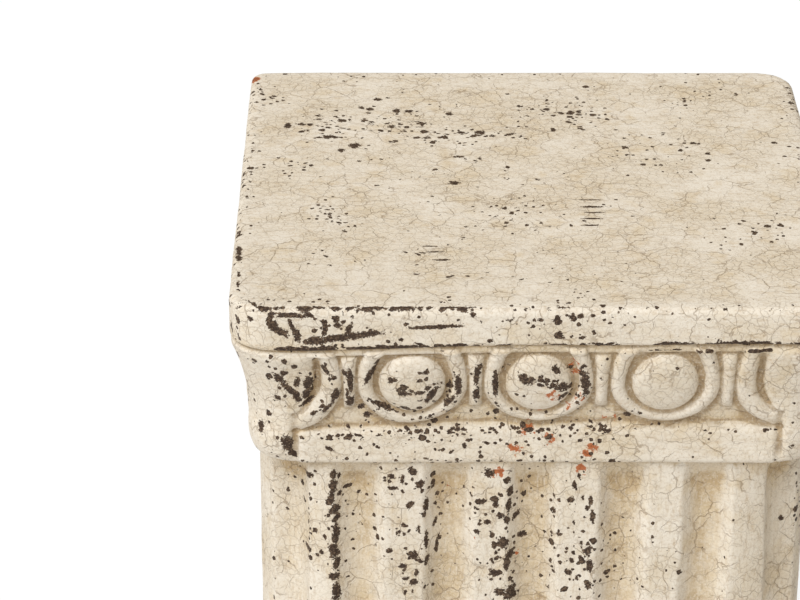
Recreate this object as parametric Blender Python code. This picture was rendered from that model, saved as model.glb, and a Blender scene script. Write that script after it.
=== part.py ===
# Square fluted column pedestal, moulded in one hollow piece that is open below.
# A slab top stands over a band of eggs and darts and a neck band, the shaft has flutes
# and rounded corners, and the base is plain. Metres, +Z up. The origin is the middle of
# the underside, and the front faces -Y.

import math

import bmesh
import bpy
from mathutils import Matrix, Vector

# Overall sizes
height = 0.760
cap_width = 0.330
base_width = 0.330

# Cap. An inset is measured in from the face of the slab, and a depth down from its foot.
slab_height = 0.0215
slab_corner_radius = 0.0220
slab_edge_radius = 0.0035
fillet_inset = 0.0020
fillet_height = 0.0045
egg_band_height = 0.0460
egg_band_top_inset = 0.0040
crease_inset = 0.0125
neck_slope_height = 0.0062
neck_band_inset = 0.0098
neck_band_height = 0.0198
neck_band_edge_radius = 0.0030

# Egg-and-dart ornament. A relief is how far a shape would stand out of the sloping egg
# band, in which it is then bedded.
egg_count = 3
egg_spacing = 0.0682
egg_depth = 0.0245
egg_width = 0.0350
egg_length = 0.0360
egg_relief = 0.0068
collar_width = 0.0508
collar_drop = 0.0215
collar_rise = 0.0340
collar_thickness = 0.0080
dart_width = 0.0080
dart_length = 0.0345
dart_relief = 0.0045
dart_depth = 0.0230
corner_collar_gap = 0.0068
bedding = 0.0007

# Smooth lobe round each corner of the cap, from the fillet down to the neck band's foot
lobe_top_inset = 0.0005
lobe_tail_inset = 0.0083
lobe_bend_depth = 0.0080
lobe_bend_height = 0.0380
lobe_half_width = 0.0240
lobe_tail_half_width = 0.0182
lobe_corner_radius = 0.0180
lobe_foot_height = 0.0160
lobe_foot_inset = 0.0070

# Shaft
shaft_width = 0.304
shaft_corner_radius = 0.052
flute_count = 24
flute_width = 0.0260
flute_hollow = 0.0075

# Base. An inset is measured in from the face of the plinth.
plinth_height = 0.0480
plinth_corner_radius = 0.0220
plinth_edge_radius = 0.0035
torus_inset = 0.0025
torus_height = 0.0340
torus_foot_inset = 0.0110
base_band_inset = 0.0095
base_band_height = 0.0170

# Inside
wall = 0.0140
top_thickness = 0.0240

# How far a joined shape runs into its neighbour, and a cutter past an open end
overlap = 0.0060

# Facets
corner_steps = 4
edge_steps = 3
torus_steps = 6
flute_steps = 6
ridge_steps = 2
egg_segments = 16
egg_rings = 8
dart_segments = 8
dart_rings = 6
collar_steps = 9
lobe_steps = 8

cap_half = cap_width / 2
base_half = base_width / 2
slab_foot = height - slab_height
egg_band_top_depth = fillet_height
crease_depth = egg_band_top_depth + egg_band_height
neck_band_depth = crease_depth + neck_slope_height
cap_depth = neck_band_depth + neck_band_height
cap_foot = slab_foot - cap_depth
torus_top = plinth_height + torus_height
base_top = torus_top + base_band_height
band_slope = math.atan2(crease_inset - egg_band_top_inset, egg_band_height)


def clear_scene():
    for old in list(bpy.data.objects):
        bpy.data.objects.remove(old, do_unlink=True)


def new_collection(name):
    collection = bpy.data.collections.new(name)
    bpy.context.scene.collection.children.link(collection)
    return collection


def add_object(name, mesh, collection):
    mesh.shade_smooth()
    mesh.set_sharp_from_angle(angle=math.radians(35))
    made = bpy.data.objects.new(name, mesh)
    collection.objects.link(made)
    return made


def add_bmesh(name, shape, collection):
    bmesh.ops.recalc_face_normals(shape, faces=shape.faces)
    mesh = bpy.data.meshes.new(name)
    shape.to_mesh(mesh)
    shape.free()
    return add_object(name, mesh, collection)


def rounded_square(half, radius, z, centre=(0, 0)):
    # Ring of a square with rounded corners, anticlockwise from its right side
    ring = []
    for corner in range(4):
        turn = Matrix.Rotation(math.radians(90 * corner), 2)
        for step in range(corner_steps + 1):
            angle = math.radians(90 * step / corner_steps)
            arc = radius * Vector((math.cos(angle), math.sin(angle)))
            point = turn @ (Vector((half - radius, half - radius)) + arc)
            ring.append((centre[0] + point.x, centre[1] + point.y, z))
    return ring


def stacked_rings(name, rings, collection):
    # A loft from ring to ring, closed at both ends. All rings have as many points.
    shape = bmesh.new()
    loops = [[shape.verts.new(point) for point in ring] for ring in rings]
    for lower, upper in zip(loops, loops[1:]):
        for index in range(len(lower)):
            shape.faces.new((lower[index - 1], lower[index], upper[index], upper[index - 1]))
    shape.faces.new(loops[0])
    shape.faces.new(loops[-1])
    return add_bmesh(name, shape, collection)


def quarter_round(radius):
    # Insets and drops from the flat top of an edge to its face
    for step in range(edge_steps + 1):
        angle = math.radians(90 * step / edge_steps)
        yield radius * (1 - math.sin(angle)), radius * (1 - math.cos(angle))


def band_inset(depth):
    share = (depth - egg_band_top_depth) / egg_band_height
    return egg_band_top_inset + (crease_inset - egg_band_top_inset) * share


def cap_rings():
    # From the foot of the neck band up to the top
    outline = []
    for inset, drop in quarter_round(neck_band_edge_radius):
        outline.append((neck_band_inset + inset, cap_depth - drop))
    outline.append((neck_band_inset, neck_band_depth))
    outline.append((crease_inset, crease_depth))
    outline.append((egg_band_top_inset, egg_band_top_depth))
    outline.append((fillet_inset, egg_band_top_depth))
    outline.append((fillet_inset, 0))
    rings = [rounded_square(cap_half - inset, slab_corner_radius, slab_foot - depth)
             for inset, depth in outline]
    rings.append(rounded_square(cap_half, slab_corner_radius, slab_foot))
    for inset, drop in reversed(list(quarter_round(slab_edge_radius))):
        radius = slab_corner_radius - inset
        rings.append(rounded_square(cap_half - inset, radius, height - drop))
    return rings


def base_rings():
    # From the underside up to the shaft
    rings = [rounded_square(base_half, plinth_corner_radius, 0)]
    for inset, drop in reversed(list(quarter_round(plinth_edge_radius))):
        radius = plinth_corner_radius - inset
        rings.append(rounded_square(base_half - inset, radius, plinth_height - drop))
    for step in range(torus_steps + 1):
        angle = math.radians(180 * step / torus_steps)
        inset = torus_foot_inset - (torus_foot_inset - torus_inset) * math.sin(angle)
        z = plinth_height + torus_height * (1 - math.cos(angle)) / 2
        rings.append(rounded_square(base_half - inset, plinth_corner_radius, z))
    for z in (torus_top, base_top):
        rings.append(rounded_square(base_half - base_band_inset, plinth_corner_radius, z))
    return rings


def fluted_ring(z):
    # Ring of the shaft. Flutes keep an even pitch round it, one of them on each corner.
    half = shaft_width / 2
    straight = 2 * (half - shaft_corner_radius)
    quarter = straight + math.pi * shaft_corner_radius / 2
    pitch = 4 * quarter / flute_count
    curve = (flute_width ** 2 / 4 + flute_hollow ** 2) / (2 * flute_hollow)
    samples = []
    for flute in range(flute_count):
        for step in range(flute_steps + 1):
            across = flute_width * (step / flute_steps - 0.5)
            hollow = flute_hollow - curve + math.sqrt(curve ** 2 - across ** 2)
            samples.append((flute * pitch + across, hollow))
        for step in range(1, ridge_steps):
            across = flute_width / 2 + (pitch - flute_width) * step / ridge_steps
            samples.append((flute * pitch + across, 0))
    ring = []
    for run, hollow in samples:
        # A run of zero is the middle of a corner's arc
        corner, along = divmod(run + quarter / 2, quarter)
        along -= straight / 2
        turn = Matrix.Rotation(math.radians(90 * corner), 2)
        angle = min(max(along / shaft_corner_radius, 0), math.pi / 2)
        over = along - angle * shaft_corner_radius
        out = Vector((math.cos(angle), math.sin(angle)))
        onward = Vector((-out.y, out.x))
        corner_middle = Vector((half, half)) - Vector((1, 1)) * shaft_corner_radius
        point = corner_middle + out * (shaft_corner_radius - hollow) + onward * over
        point = turn @ point
        ring.append((point.x, point.y, z))
    return ring


def lobe_rings():
    # The lobe on the right front corner, from the neck band's foot up to the fillet
    rings = []
    for step in range(lobe_steps + 1):
        depth = cap_depth + (egg_band_top_depth / 2 - cap_depth) * step / lobe_steps
        share = min(max((depth - lobe_bend_depth) / lobe_bend_height, 0), 1)
        bend = math.sin(share * math.pi / 2)
        inset = lobe_top_inset + (lobe_tail_inset - lobe_top_inset) * bend
        half = lobe_half_width + (lobe_tail_half_width - lobe_half_width) * share ** 4
        foot = max(depth - cap_depth + lobe_foot_height, 0) / lobe_foot_height
        inset += lobe_foot_inset * (1 - math.sqrt(1 - foot ** 2))
        middle = cap_half - inset - half
        rings.append(rounded_square(half, lobe_corner_radius, slab_foot - depth, (middle, -middle)))
    return rings


def band_place(x, depth):
    # Frame on the front's egg band: X along it, -Y out of it, Z up its slope
    point = Vector((x, band_inset(depth) + bedding - cap_half, slab_foot - depth))
    return Matrix.Translation(point) @ Matrix.Rotation(band_slope, 4, "X")


def dome(name, size, segments, rings, place, collection):
    shape = bmesh.new()
    bmesh.ops.create_uvsphere(shape, u_segments=segments, v_segments=rings, radius=0.5)
    bmesh.ops.scale(shape, vec=size, verts=shape.verts)
    made = add_bmesh(name, shape, collection)
    made.matrix_world = place
    return made


def collar(name, first_angle, last_angle, place, collection):
    # A bar bent round an egg, from one angle to the other, measured from its right side
    curve = bpy.data.curves.new(name, "CURVE")
    curve.dimensions = "3D"
    curve.bevel_depth = collar_thickness / 2
    curve.bevel_resolution = 1
    curve.use_fill_caps = True
    steps = round(collar_steps * (last_angle - first_angle) / 180)
    spline = curve.splines.new("POLY")
    spline.points.add(steps)
    for index, point in enumerate(spline.points):
        angle = math.radians(first_angle + (last_angle - first_angle) * index / steps)
        rise = collar_rise if math.sin(angle) > 0 else collar_drop
        x = collar_width / 2 * math.cos(angle)
        point.co = (x, 0, rise * math.sin(angle), 1)
    guide = bpy.data.objects.new(name, curve)
    collection.objects.link(guide)
    guide.matrix_world = place
    evaluated = guide.evaluated_get(bpy.context.evaluated_depsgraph_get())
    shape = bmesh.new()
    shape.from_mesh(bpy.data.meshes.new_from_object(evaluated))
    bmesh.ops.remove_doubles(shape, verts=shape.verts, dist=0.00001)
    made = add_bmesh(name, shape, collection)
    made.matrix_world = guide.matrix_world
    bpy.data.objects.remove(guide, do_unlink=True)
    bpy.data.curves.remove(curve)
    return made


def ornament_front(collection):
    # Eggs, collars and darts of the front
    ornament = []
    top_angle = math.degrees(math.asin((egg_depth - egg_band_top_depth) / collar_rise))
    first_x = -egg_spacing * (egg_count - 1) / 2
    for index in range(egg_count):
        place = band_place(first_x + index * egg_spacing, egg_depth)
        size = (egg_width, 2 * egg_relief, egg_length)
        ornament.append(dome("egg", size, egg_segments, egg_rings, place, collection))
        ornament.append(collar("collar", -180 - top_angle, top_angle, place, collection))
    for index in range(egg_count + 1):
        place = band_place(first_x + (index - 0.5) * egg_spacing, dart_depth)
        size = (dart_width, 2 * dart_relief, dart_length)
        ornament.append(dome("dart", size, dart_segments, dart_rings, place, collection))
    last_dart = egg_spacing * egg_count / 2
    corner_x = last_dart + corner_collar_gap + collar_width / 2
    left, right = band_place(-corner_x, egg_depth), band_place(corner_x, egg_depth)
    ornament.append(collar("corner_collar", -90, top_angle, left, collection))
    ornament.append(collar("corner_collar", -180 - top_angle, -90, right, collection))
    ornament.append(stacked_rings("lobe", lobe_rings(), collection))
    return ornament


def copy_to_other_sides(pieces, collection):
    for side in range(1, 4):
        turn = Matrix.Rotation(math.radians(90 * side), 4, "Z")
        for piece in pieces:
            copy = piece.copy()
            collection.objects.link(copy)
            copy.matrix_world = turn @ piece.matrix_world


def make_shaft(collection):
    foot, head = base_top - overlap, cap_foot + overlap
    return stacked_rings("shaft", [fluted_ring(foot), fluted_ring(head)], collection)


def make_hollow(collection):
    # A straight well under the top that widens inside the base
    half = shaft_width / 2 - flute_hollow - wall
    foot_half = base_half - torus_foot_inset - wall
    radius = shaft_corner_radius - flute_hollow - wall
    outline = [(foot_half, -overlap), (foot_half, torus_top - wall)]
    outline += [(half, base_top - wall), (half, height - top_thickness)]
    return stacked_rings("hollow", [rounded_square(at, radius, z) for at, z in outline], collection)


def boolean(piece, name, operation):
    modifier = piece.modifiers.new(name, "BOOLEAN")
    modifier.operation = operation
    modifier.solver = "EXACT"
    return modifier


def painted_terracotta():
    material = bpy.data.materials.new("painted_terracotta")
    material.use_nodes = True
    shader = material.node_tree.nodes["Principled BSDF"]
    shader.inputs["Base Color"].default_value = (0.69, 0.60, 0.46, 1)
    shader.inputs["Roughness"].default_value = 0.75
    shader.inputs["Metallic"].default_value = 0
    return material


def build():
    clear_scene()
    parts = new_collection("column_pedestal_parts")
    joined = new_collection("column_pedestal_joined_shapes")
    cutters = new_collection("column_pedestal_cutters")

    pedestal = stacked_rings("column_pedestal", cap_rings(), parts)
    pedestal.data.materials.append(painted_terracotta())
    make_shaft(joined)
    stacked_rings("base", base_rings(), joined)
    copy_to_other_sides(ornament_front(joined), joined)
    hollow = make_hollow(cutters)

    union = boolean(pedestal, "join shaft, base and ornament", "UNION")
    union.operand_type = "COLLECTION"
    union.collection = joined
    boolean(pedestal, "hollow", "DIFFERENCE").object = hollow
    for helper in list(joined.objects) + [hollow]:
        helper.hide_render = True
        helper.display_type = "WIRE"


build()
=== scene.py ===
# Looks of the column pedestal: one carved sheet of terracotta under worn, crackled paint.
# +Z is up and the front faces -Y. The scene is in metres, and the sizes in the dictionaries are
# real ones in millimetres, unless a note beside them says metres.

import math
import random

import bpy
import numpy as np
from mathutils import Euler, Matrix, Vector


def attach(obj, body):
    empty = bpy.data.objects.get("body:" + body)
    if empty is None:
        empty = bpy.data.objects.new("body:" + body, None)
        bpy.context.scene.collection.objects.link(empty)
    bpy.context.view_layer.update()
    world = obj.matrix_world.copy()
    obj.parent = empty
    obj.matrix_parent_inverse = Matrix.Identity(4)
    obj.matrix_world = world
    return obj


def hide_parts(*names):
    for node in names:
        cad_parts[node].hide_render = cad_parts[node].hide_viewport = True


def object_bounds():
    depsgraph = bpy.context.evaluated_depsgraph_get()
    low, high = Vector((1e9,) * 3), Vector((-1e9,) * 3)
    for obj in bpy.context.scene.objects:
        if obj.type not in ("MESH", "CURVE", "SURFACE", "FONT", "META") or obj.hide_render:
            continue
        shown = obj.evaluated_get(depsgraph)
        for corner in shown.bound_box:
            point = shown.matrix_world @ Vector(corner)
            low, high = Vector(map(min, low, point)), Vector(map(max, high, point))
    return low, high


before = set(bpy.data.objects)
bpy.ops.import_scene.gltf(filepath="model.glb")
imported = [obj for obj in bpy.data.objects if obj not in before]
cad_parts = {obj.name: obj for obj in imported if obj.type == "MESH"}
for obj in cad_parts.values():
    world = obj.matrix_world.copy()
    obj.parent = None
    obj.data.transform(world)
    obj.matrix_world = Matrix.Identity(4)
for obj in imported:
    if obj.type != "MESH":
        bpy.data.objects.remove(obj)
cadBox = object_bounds()
print("frame loaded", [tuple(corner) for corner in cadBox])

mm = 0.001
room = 0.5        # left free inside the CAD box for the hand-made unevenness
sheetTop = cadBox[1][2] / mm - room
sheetHalf = cadBox[1][0] / mm - room

# Insets are from the slab's face, depths from its foot
cap = {
    "slabHeight": 21.5,
    "cornerRadius": 22,
    "topEdge": 4.2,
    "footEdge": 1.6,
    "filletInset": 2.0,
    "filletHeight": 4.5,
    "bandTopInset": 4.0,
    "creaseInset": 12.5,
    "bandHeight": 46.0,
    "slopeHeight": 6.2,
    "neckInset": 9.8,
    "neckHeight": 19.8,
    "neckEdge": 3.0,
    "backLeftRadius": 9.5,
    "filletStart": 0.3,
    "bandStep": 0.8,
    "bandStart": 1.2,
}
sagging = {        # of the slab's foot and the crease below it, towards the front left corner
    "footDrop": 3.2,
    "footReach": 9.0,
    "creaseDrop": 3.2,
    "creaseReach": 8.0,
    "endsAt": 10,
    "over": 130,
    "creaseFullAt": -90,
    "creaseOver": 40,
    "frontFrom": 100,
    "frontOver": 50,
    "wave": 0.35,
    "waveAcross": 23,
    "waveAlong": 19,
}
ornament = {
    "eggSpacing": 67.2,
    "eggDepth": 24.5,
    "eggHalfWidth": 18.2,
    "eggHalfHeight": 18.8,
    "eggRelief": 6.3,
    "collarHalfWidth": 25.2,
    "collarDrop": 21.5,
    "collarRise": 34.0,
    "collarThickness": 4.7,
    "cornerCollarInner": 7.6,
    "cornerCollarDrop": 23.8,
    "collarRelief": 4.0,
    "dartHalfWidth": 3.9,
    "dartHalfHeight": 17.5,
    "dartDepth": 23.0,
    "dartRelief": 4.2,
    "cornerCollarGap": 7.6,
    "groove": 1.5,
    "grooveHalfWidth": 2.4,
    "grooveAt": 1.06,
    "grooveEnd": 1.3,
    "eggSquareness": 3.2,
    "cornerCollarEnd": 4,
    "dartTaper": 0.22,
    "dartSquareness": 5,
    "fadeFrom": 1.5,
    "fadeOver": 2.5,
}
lobe = {
    "topInset": 0.5,
    "tailInset": 8.3,
    "bendDepth": 8.0,
    "bendHeight": 38.0,
    "side": 119.0,
    "tailSide": 131.5,
    "narrowFrom": 20.0,
    "narrowBy": 43.5,
    "shoulder": 8.0,
    "tailShoulder": 5.0,
    "shoulderChange": 6.0,
    "footHeight": 16.0,
    "footInset": 6.5,
    "seam": 1.5,
    "seamOut": 1.6,
    "seamHalfWidth": 2.6,
}
shaft = {
    "halfWidth": 152.0,
    "cornerRadius": 52.0,
    "fluteCount": 24,
    "fluteWidth": 26.0,
    "fluteHollow": 7.6,
    "runOut": 13.0,
    "runOutShare": 0.3,
    "ridgeSoftness": 3.2,
    "gap": 0.2,
    "fineTo": 96.0,
    "wander": 0.8,
    "wanderWaves": ((41, 2.3, 1), (17, 1.7, 0.6)),     # length, step from flute to flute, share
    "drift": {0: -1.6, -1: -0.2, -2: -2.0, -3: 2.2, 1: 1.1, 2: -1.3, 5: 0.9, 8: -1.4, 11: 1.2},
}
base = {
    "plinthHeight": 48.0,
    "plinthEdge": 3.5,
    "torusHeight": 34.0,
    "torusInset": 2.6,
    "torusFootInset": 11.0,
    "bandInset": 9.5,
    "bandHeight": 17.0,
    "bandEdge": 2.5,
    "torusSteps": 15,
    "rim": 1.2,
    "rimHalfway": (0.4, 0.35),
}
inside = {
    "halfWidth": 130.5,
    "footHalfWidth": 140.0,
    "cornerRadius": 30.5,
    "topThickness": 24.0,
    "wall": 14.0,
    "rim": 1.5,
    "ceilingEdge": 8.0,
}
sheet = {
    "flatColumns": 176,
    "cornerColumns": 48,
    "commonFlat": 100.0,
    "triangles": 192000,
    "waviness": 0.75,
    "wavinessSize": 50,
    "dimples": 0.3,
    "dimpleSize": 10,
    "doubles": 0.02,
}
rowSpacing = {
    "top": 4,
    "topEdge": 3,
    "slab": 1.6,
    "band": 1.12,
    "neckFoot": 2,
    "upperShaft": 2.2,
    "shaft": 7,
    "shaftFoot": 2,
    "baseBand": 3,
    "plinth": 4,
    "insideBase": 25,
    "insideStep": 9,
    "insideShaft": 60,
    "ceilingEdge": 6,
    "ceiling": 40,
}


capDepth = cap["filletHeight"] + cap["bandHeight"] + cap["slopeHeight"] + cap["neckHeight"]


def smoothMax(a, b, softness):
    # The larger of two fields, with the corner between them filled in
    near = np.clip(softness - np.abs(a - b), 0, None)
    return np.maximum(a, b) + near ** 2 / (4 * softness)


def roundBar(offset, halfThickness):
    # Height from 0 to 1 over a bar with a round section
    return np.sqrt(np.clip(1 - (offset / halfThickness) ** 2, 0, 1))


def capInset(depth):
    # Plain profile of the cap without its ornament
    creaseDepth = cap["filletHeight"] + cap["bandHeight"]
    neckDepth = creaseDepth + cap["slopeHeight"]
    depths = [0, cap["filletHeight"], cap["filletHeight"] + cap["bandStep"],
              creaseDepth, neckDepth, 1000]
    insets = [cap["filletInset"], cap["filletInset"], cap["bandTopInset"],
              cap["creaseInset"], cap["neckInset"], cap["neckInset"]]
    return np.interp(depth, depths, insets)


def ornamentHeight(along, depth):
    # How far eggs, collars and darts stand out of the band, along being measured from the
    # middle of a side. Each egg lies in a groove that its collar follows.
    o = ornament
    height = np.zeros_like(depth)
    up = o["eggDepth"] - depth
    cornerEgg = 1.5 * o["eggSpacing"] + o["cornerCollarGap"] + o["collarHalfWidth"]
    for middle in (-cornerEgg, -o["eggSpacing"], 0, o["eggSpacing"], cornerEgg):
        across = along - middle
        drop = o["cornerCollarDrop"] if abs(middle) == cornerEgg else o["collarDrop"]
        rise = np.where(up > 0, o["collarRise"], drop)
        ring = np.hypot(across / o["collarHalfWidth"], up / rise)
        radius = np.hypot(across, up) / np.maximum(ring, 0.01)
        offset = (ring - 1) * radius
        bar = o["collarRelief"] * roundBar(offset, o["collarThickness"])
        if abs(middle) == cornerEgg:
            inner = o["collarRelief"] * roundBar(offset, o["cornerCollarInner"])
            bar = np.where(offset < 0, inner, bar)
            bar = np.where(across * np.sign(middle) < o["cornerCollarEnd"], bar, 0)
            height = np.maximum(height, bar)
            continue
        height = np.maximum(height, bar)
        share = np.hypot(across / o["eggHalfWidth"], up / o["eggHalfHeight"])
        groove = roundBar((share - o["grooveAt"]) * o["eggHalfWidth"], o["grooveHalfWidth"])
        height = np.where(share < o["grooveEnd"], height - o["groove"] * groove, height)
        dome = o["eggRelief"] * np.clip(1 - share ** o["eggSquareness"], 0, 1) ** 0.5
        height = np.where(share < 1, np.maximum(height, dome), height)
    for middle in (-1.5, -0.5, 0.5, 1.5):
        across = along - middle * o["eggSpacing"]
        tall = (depth - o["dartDepth"]) / o["dartHalfHeight"]
        taper = np.clip(1 - np.abs(tall) ** o["dartSquareness"], 0, 1)
        width = o["dartHalfWidth"] * (1 - o["dartTaper"] * np.clip(tall, -1, 1))
        height = np.maximum(height, o["dartRelief"] * roundBar(across, width) * taper ** 0.5)
    return height


def lobeSide(depth):
    # From the middle of a face to the lobe's side: wide like an egg above, narrow below
    narrow = np.clip((depth - lobe["narrowFrom"]) / (lobe["narrowBy"] - lobe["narrowFrom"]), 0, 1)
    return lobe["tailSide"] - (lobe["tailSide"] - lobe["side"]) * np.sqrt(1 - narrow ** 2)


def lobeShare(along, depth):
    # 1 on the lobe that wraps a corner, falling round to 0 at its side
    change = [lobe["narrowBy"] - lobe["shoulderChange"], lobe["narrowBy"]]
    shoulder = np.interp(depth, change, [lobe["shoulder"], lobe["tailShoulder"]])
    return roundBar(np.clip(lobeSide(depth) + shoulder - np.abs(along), 0, None), shoulder)


def lobeInset(depth):
    # How far a lobe lies behind the slab's face, curling in at its foot
    bend = np.clip((depth - lobe["bendDepth"]) / lobe["bendHeight"], 0, 1)
    inset = lobe["topInset"] + (lobe["tailInset"] - lobe["topInset"]) * np.sin(bend * math.pi / 2)
    foot = np.clip((depth - capDepth + lobe["footHeight"]) / lobe["footHeight"], 0, 1)
    return inset + lobe["footInset"] * (1 - np.sqrt(1 - foot ** 2))


def fluteHollow(run, z, pitch):
    # Depth of the flutes at a distance run round the shaft from the middle of the front.
    # Their edges wander a little on the way down, as in a hand-made mould.
    noFlute = -2.0
    hollow = np.full_like(run, noFlute)
    deep = shaft["fluteHollow"]
    radius = (shaft["fluteWidth"] ** 2 / 4 + deep ** 2) / (2 * deep)
    half = shaft["fluteCount"] // 2
    for index in range(-half, half + 1):
        wander = sum(share * math.sin(z / length + step * index)
                     for length, step, share in shaft["wanderWaves"])
        across = run - index * pitch - shaft["drift"].get(index, 0) - shaft["wander"] * wander
        within = np.clip(radius ** 2 - across ** 2, 0, None)
        arc = deep - radius + np.sqrt(within)
        hollow = np.maximum(hollow, np.where(np.abs(across) < radius, arc, noFlute))
    return smoothMax(hollow, np.zeros_like(hollow), shaft["ridgeSoftness"])


def arcSteps(radius, steps):
    # Insets and drops of the points on a quarter round, from its top to its face
    for step in range(steps + 1):
        angle = math.radians(90 * step / steps)
        yield radius * (1 - math.sin(angle)), radius * (1 - math.cos(angle))


def addRun(rows, to, spacing):
    # Adds rows from the last one to a (half, corner radius, z, scale, kind) row
    last = rows[-1]
    length = math.hypot(to[0] * to[3] - last[0] * last[3], to[2] - last[2])
    steps = max(1, round(length / spacing))
    for step in range(1, steps + 1):
        share = step / steps
        blend = [a + (b - a) * share for a, b in zip(last[:4], to[:4])]
        rows.append((*blend, to[4]))


def sheetRows():
    # The way from the middle of the top down the outside, under the rim and up the inside
    top, half = sheetTop, sheetHalf
    foot = top - cap["slabHeight"]
    r = cap["cornerRadius"]
    flat = half - cap["topEdge"]
    rows = [(flat, r - cap["topEdge"], top, 0, "top")]
    addRun(rows, (flat, r - cap["topEdge"], top, 0.8, "top"), rowSpacing["top"])
    addRun(rows, (flat, r - cap["topEdge"], top, 1, "top"), rowSpacing["topEdge"])
    for inset, drop in list(arcSteps(cap["topEdge"], 4))[1:]:
        rows.append((half - inset, r - inset, top - drop, 1, "slab"))
    addRun(rows, (half, r, foot + cap["footEdge"], 1, "slab"), rowSpacing["slab"])
    for inset, drop in list(reversed(list(arcSteps(cap["footEdge"], 3))))[1:]:
        rows.append((half - inset, r, foot + drop, 1, "slab"))

    rows.append((half - cap["filletInset"], r, foot - cap["filletStart"], 1, "band"))
    bandFoot = capDepth - cap["neckEdge"]
    for depth in np.arange(cap["bandStart"], bandFoot, rowSpacing["band"]):
        rows.append((half - capInset(depth), r, foot - depth, 1, "band"))
    for inset, drop in reversed(list(arcSteps(cap["neckEdge"], 4))):
        rows.append((half - cap["neckInset"] - inset, r, foot - capDepth + drop, 1, "band"))

    capFoot = foot - capDepth
    shaftHalf, shaftRadius = shaft["halfWidth"], shaft["cornerRadius"]
    torusTop = base["plinthHeight"] + base["torusHeight"]
    baseTop = torusTop + base["bandHeight"]
    rows.append((shaftHalf - shaft["gap"], shaftRadius, capFoot - shaft["gap"], 1, "shaft"))
    for z, spacing in ((capFoot - 8, "neckFoot"), (capFoot - shaft["fineTo"], "upperShaft"),
                       (baseTop + 4, "shaft"), (baseTop, "shaftFoot")):
        addRun(rows, (shaftHalf, shaftRadius, z, 1, "shaft"), rowSpacing[spacing])

    bandHalf = half - base["bandInset"]
    for inset, drop in arcSteps(base["bandEdge"], 3):
        rows.append((bandHalf - inset, r, baseTop - drop, 1, "base"))
    addRun(rows, (bandHalf, r, torusTop, 1, "base"), rowSpacing["baseBand"])
    torusBulge = base["torusFootInset"] - base["torusInset"]
    for step in range(1, base["torusSteps"]):
        angle = math.radians(180 * step / base["torusSteps"])
        inset = base["torusFootInset"] - torusBulge * math.sin(angle)
        z = torusTop - base["torusHeight"] * (1 - math.cos(angle)) / 2
        rows.append((half - inset, r, z, 1, "base"))
    rows.append((half - base["torusFootInset"], r, base["plinthHeight"], 1, "base"))
    for inset, drop in arcSteps(base["plinthEdge"], 4):
        rows.append((half - inset, r - inset, base["plinthHeight"] - drop, 1, "base"))
    addRun(rows, (half, r, base["rim"], 1, "base"), rowSpacing["plinth"])
    rimInset, rimUp = base["rimHalfway"]
    rows.append((half - rimInset, r, rimUp, 1, "base"))

    rows.append((half - base["rim"], r, 0, 1, "inside"))
    r = inside["cornerRadius"]
    footHalf = inside["footHalfWidth"]
    rows.append((footHalf + inside["rim"], r, 0, 1, "inside"))
    rows.append((footHalf, r, inside["rim"], 1, "inside"))
    ceiling = top - inside["topThickness"]
    edge = inside["ceilingEdge"]
    for insideHalf, z, scale, spacing in (
            (footHalf, torusTop - inside["wall"], 1, "insideBase"),
            (inside["halfWidth"], baseTop - inside["wall"], 1, "insideStep"),
            (inside["halfWidth"], ceiling - edge, 1, "insideShaft"),
            (inside["halfWidth"] - edge, ceiling, 1, "ceilingEdge"),
            (inside["halfWidth"] - edge, ceiling, 0, "ceiling")):
        addRun(rows, (insideHalf, r, z, scale, "inside"), rowSpacing[spacing])
    return rows


def sideColumns():
    # Places of the columns along one side: (distance on the common flat, share of the rest)
    flat = np.linspace(-1, 1, sheet["flatColumns"] + 1) * sheet["commonFlat"]
    rest = np.linspace(0, 1, sheet["cornerColumns"] + 1)[1:]
    before = [(-sheet["commonFlat"], -share) for share in rest[::-1]]
    after = [(sheet["commonFlat"], share) for share in rest[:-1]]
    return before + [(place, 0) for place in flat] + after


def ringPoints(columns, half, radius, sharper=0, sharpEnd=0):
    # Plan of a rounded square for one side that faces -Y: x, y, outward x and y, and the
    # distances along the ring from the side's middle. One end's corner can be sharper.
    flat = np.array([c[0] for c in columns])
    share = np.array([c[1] for c in columns])
    radius = np.where(share * sharpEnd > 0, radius - sharper, radius)
    corner = math.pi * radius / 4
    straight = half - radius - sheet["commonFlat"]
    along = flat + share * (straight + corner)
    bend = np.clip(np.abs(along) - (half - radius), 0, None) / radius
    sign = np.sign(along)
    x = sign * (np.minimum(np.abs(along), half - radius) + radius * np.sin(bend))
    y = -(half - radius) - radius * np.cos(bend)
    out = np.stack([sign * np.sin(bend), -np.cos(bend)], axis=1)
    return x, y, out, along


def sagDown(points):
    # How far the points hang lower towards the front left corner, as the mould left them
    x, y, z = points.T
    toFront = np.clip((-y - sagging["frontFrom"]) / sagging["frontOver"], 0, 1)
    towards = np.clip((sagging["endsAt"] - x) / sagging["over"], 0, 1) * toFront
    toCorner = np.clip((sagging["creaseFullAt"] - x) / sagging["creaseOver"] + 1, 0, 1)
    waveAcross = sagging["wave"] * np.sin(x / sagging["waveAcross"])
    waveAlong = sagging["wave"] * np.sin(y / sagging["waveAlong"])
    foot = sheetTop - cap["slabHeight"]
    crease = foot - cap["filletHeight"] - cap["bandHeight"]
    nearFoot = np.exp(-((z - foot) / sagging["footReach"]) ** 2)
    nearCrease = np.exp(-((z - crease) / sagging["creaseReach"]) ** 2)
    atFoot = sagging["footDrop"] * towards + (waveAcross + waveAlong)
    return atFoot * nearFoot + sagging["creaseDrop"] * towards * toCorner * nearCrease


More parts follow.
